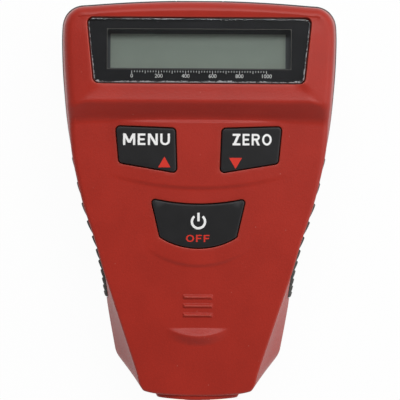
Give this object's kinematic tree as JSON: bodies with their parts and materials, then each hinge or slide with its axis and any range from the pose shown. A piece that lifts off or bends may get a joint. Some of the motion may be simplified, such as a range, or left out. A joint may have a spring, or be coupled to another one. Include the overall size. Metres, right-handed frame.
{
  "type": "coating thickness gauge",
  "caption": "Hand-held coating thickness gauge: tapered two-shell case with a display, rubber keys, scalloped side grips, sliding battery door and a sprung probe in its nose.",
  "frame": {"origin": "on the back, at the middle of the whole length and width, with the gauge lying on its back", "axes": "+Z out of the face with the display and keys, +Y towards the display end, so the probe looks along -Y, +X to the right of someone who reads the display"},
  "size_m": [0.0694, 0.102, 0.028],
  "materials": {
    "red_plastic": "fine spark-eroded texture",
    "grey_plastic": "fine spark-eroded texture",
    "grip_rubber": "matte, scalloped",
    "key_rubber": "smooth matte with printed signs",
    "lens_plastic": "polished, printed border",
    "lcd_glass": "satin polariser over a grey-green panel",
    "black_foam": "closed-cell, matte",
    "white_plastic": "plain moulded",
    "board": "solder mask over glass laminate",
    "chip_plastic": "moulded",
    "nickel": "nickel plated",
    "steel": "ground",
    "copper": "enamelled wire",
    "cell_jacket": "plain foil jacket",
    "cable_jacket": "extruded"
  },
  "bodies": {
    "housing": {"front_shell": "red_plastic", "rear_shell": "grey_plastic", "left_grip": "grip_rubber", "right_grip": "grip_rubber", "display_lens": "lens_plastic", "window_gasket": "black_foam", "lcd_panel": "lcd_glass", "lcd_holder": "white_plastic", "lower_contact_strip": "black_foam", "upper_contact_strip": "black_foam", "circuit_board": "board", "processor_chip": "chip_plastic", "probe_connector": "white_plastic", "mode_switch": "nickel", "unit_switch": "nickel", "off_switch": "nickel", "probe_sleeve": "nickel", "probe_spring": "steel", "probe_retainer": "nickel", "probe_cable": "cable_jacket", "left_cell": "cell_jacket", "right_cell": "cell_jacket", "positive_contact": "nickel", "negative_contact": "nickel", "bridge_contact": "nickel", "bridge_spring": "nickel", "terminal_spring": "nickel", "case_screw_1": "steel", "case_screw_2": "steel", "case_screw_3": "steel", "case_screw_4": "steel", "board_screw_1": "steel", "board_screw_2": "steel", "board_screw_3": "steel"},
    "mode_button": {"mode_key": "key_rubber", "mode_plunger": "chip_plastic"},
    "unit_button": {"unit_key": "key_rubber", "unit_plunger": "chip_plastic"},
    "off_button": {"off_key": "key_rubber", "off_plunger": "chip_plastic"},
    "probe": {"probe_body": "steel", "probe_core": "steel", "probe_coil": "copper"},
    "door": {"battery_door": "grey_plastic"}
  },
  "joints": [
    {"name": "mode_key_press", "type": "slide", "parent": "housing", "child": "mode_button", "axis": [0, 0, -1], "range_m": [0, 0.0006], "stiffness_N_per_m": 400},
    {"name": "unit_key_press", "type": "slide", "parent": "housing", "child": "unit_button", "axis": [0, 0, -1], "range_m": [0, 0.0006], "stiffness_N_per_m": 400},
    {"name": "off_key_press", "type": "slide", "parent": "housing", "child": "off_button", "axis": [0, 0, -1], "range_m": [0, 0.0006], "stiffness_N_per_m": 400},
    {"name": "probe_slide", "type": "slide", "parent": "housing", "child": "probe", "axis": [0, 1, 0], "range_m": [0, 0.002], "stiffness_N_per_m": 600, "deforming": ["probe_spring"]},
    {"name": "battery_door_slide", "type": "slide", "parent": "housing", "child": "door", "axis": [0, 1, 0], "range_m": [0, 0.054]}
  ]
}
